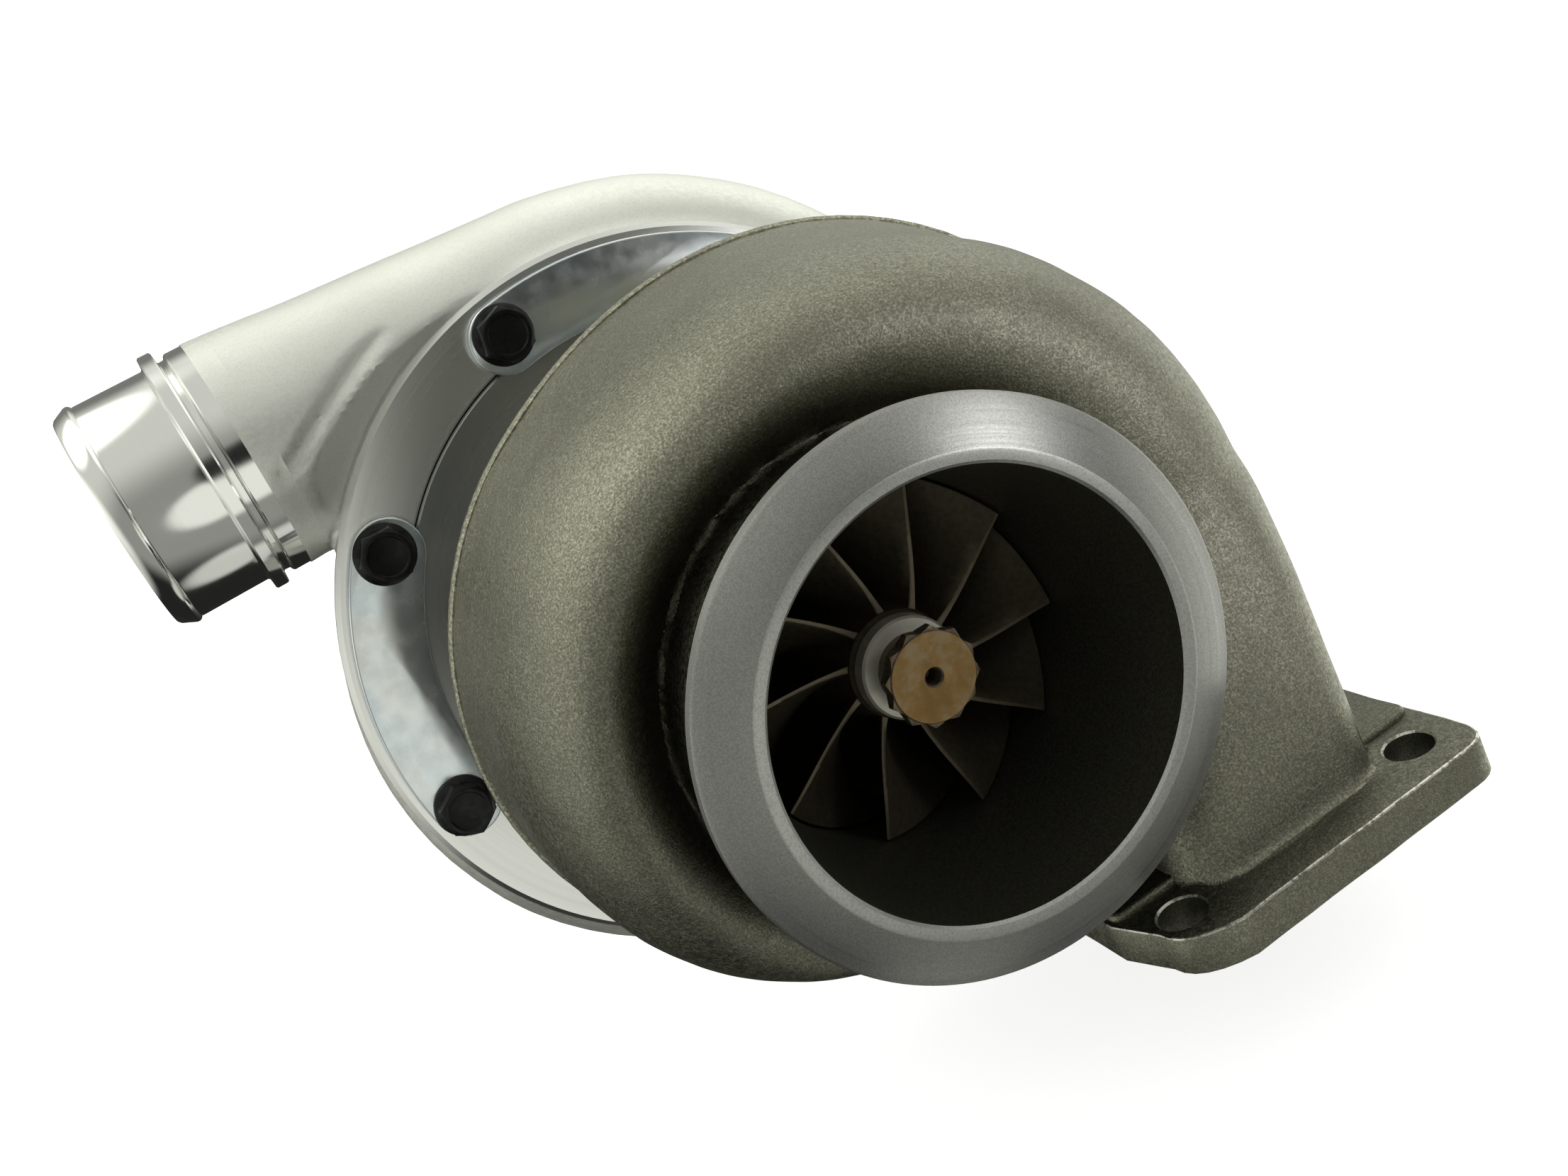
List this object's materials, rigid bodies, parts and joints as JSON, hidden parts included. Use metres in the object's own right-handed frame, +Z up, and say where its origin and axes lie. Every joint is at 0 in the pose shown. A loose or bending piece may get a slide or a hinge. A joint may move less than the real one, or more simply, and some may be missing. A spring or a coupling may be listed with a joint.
{
  "type": "turbocharger",
  "caption": "Turbocharger: cast exhaust scroll with a flanged inlet, bearing housing and cast compressor scroll with a hose outlet, around one freely spinning rotor.",
  "frame": {"origin": "centre of the turbine inlet flange's mating face", "axes": "+Z up, away from the exhaust manifold; the rotor axis is parallel to Y, with the exhaust outlet at -Y and the air inlet at +Y; +X from the rotor axis to the inlet flange"},
  "size_m": [0.2341, 0.2605, 0.2278],
  "materials": {
    "cast_iron": "gritty sand-cast",
    "cast_aluminium": "bead-blasted casting",
    "machined_aluminium": "turned and polished",
    "machined_steel": "turned",
    "superalloy": "investment-cast nickel alloy",
    "zinc_plate": "bright zinc plate",
    "black_oxide": "black oxide",
    "bronze": "turned",
    "rubber": "moulded"
  },
  "bodies": {
    "casing": {"turbine_housing": "cast_iron", "heat_shield": "machined_steel", "center_housing": "cast_iron", "journal_bearing": "bronze", "bearing_pin": "machined_steel", "thrust_bearing": "bronze", "turbine_piston_ring": "machined_steel", "compressor_piston_ring": "machined_steel", "compressor_backplate": "machined_aluminium", "backplate_seal_ring": "rubber", "cover_seal_ring": "rubber", "compressor_cover": "cast_aluminium", "cover_clamp_1": "zinc_plate", "cover_clamp_2": "zinc_plate", "cover_clamp_3": "zinc_plate", "cover_clamp_4": "zinc_plate", "cover_bolt_1": "black_oxide", "cover_bolt_2": "black_oxide", "cover_bolt_3": "black_oxide", "cover_bolt_4": "black_oxide", "cover_bolt_5": "black_oxide", "cover_bolt_6": "black_oxide", "cover_bolt_7": "black_oxide", "cover_bolt_8": "black_oxide", "turbine_clamp_1": "zinc_plate", "turbine_clamp_2": "zinc_plate", "turbine_bolt_1": "machined_steel", "turbine_bolt_2": "machined_steel", "turbine_bolt_3": "machined_steel", "turbine_bolt_4": "machined_steel", "turbine_bolt_5": "machined_steel", "turbine_bolt_6": "machined_steel", "backplate_bolt_1": "black_oxide", "backplate_bolt_2": "black_oxide", "backplate_bolt_3": "black_oxide", "backplate_bolt_4": "black_oxide"},
    "rotor": {"turbine_wheel_shaft": "superalloy", "thrust_collar": "machined_steel", "compressor_wheel": "machined_aluminium", "compressor_nut": "machined_steel"}
  },
  "joints": [
    {"name": "rotor_spin", "type": "hinge", "parent": "casing", "child": "rotor", "pos_m": [-0.054, 0, 0.0782], "axis": [0, -1, 0], "continuous": true}
  ]
}
